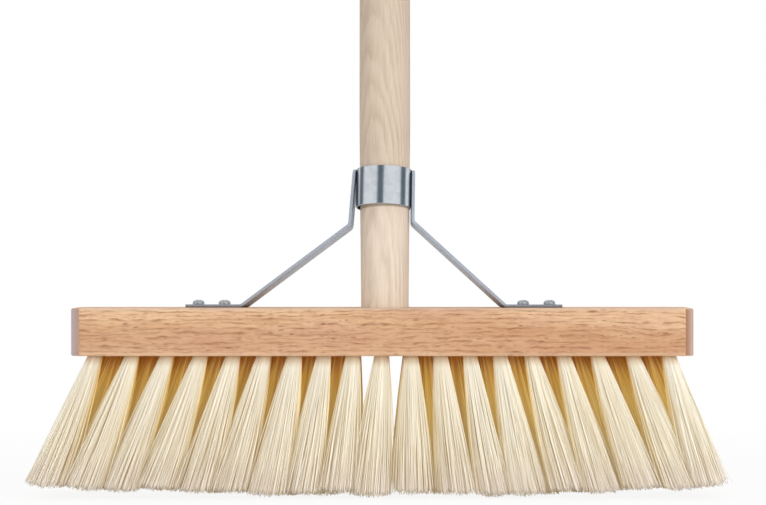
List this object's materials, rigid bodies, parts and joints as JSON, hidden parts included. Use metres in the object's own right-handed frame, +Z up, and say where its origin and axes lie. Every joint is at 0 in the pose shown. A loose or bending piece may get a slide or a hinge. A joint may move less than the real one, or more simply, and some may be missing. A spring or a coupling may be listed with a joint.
{
  "type": "wide floor broom",
  "caption": "Wide wooden floor broom with a fan of pale bristles, a round handle that leans back from the block and a galvanised strip-steel stay that braces it.",
  "frame": {"origin": "on the floor under the middle of the block, in the plane of the lowest bristle tips", "axes": "+X along the block to the right as seen from the front, +Y to the back, where the handle leans, +Z up from the floor"},
  "size_m": [0.4036, 0.291, 1.4711],
  "materials": {
    "handle_wood": "plain pale ash, sanded",
    "block_wood": "plain beech, planed",
    "galvanised_steel": "bright galvanised strip",
    "screw_steel": "zinc plated",
    "bristle": "cream synthetic fibre"
  },
  "bodies": {
    "root": {"handle": "handle_wood", "block": "block_wood", "stay_collar": "galvanised_steel", "left_stay_leg": "galvanised_steel", "right_stay_leg": "galvanised_steel", "left_foot_outer_screw": "screw_steel", "left_foot_inner_screw": "screw_steel", "right_foot_outer_screw": "screw_steel", "right_foot_inner_screw": "screw_steel", "collar_screw": "screw_steel", "far_left_bristles": "bristle", "near_left_bristles": "bristle", "near_right_bristles": "bristle", "far_right_bristles": "bristle"}
  },
  "joints": []
}
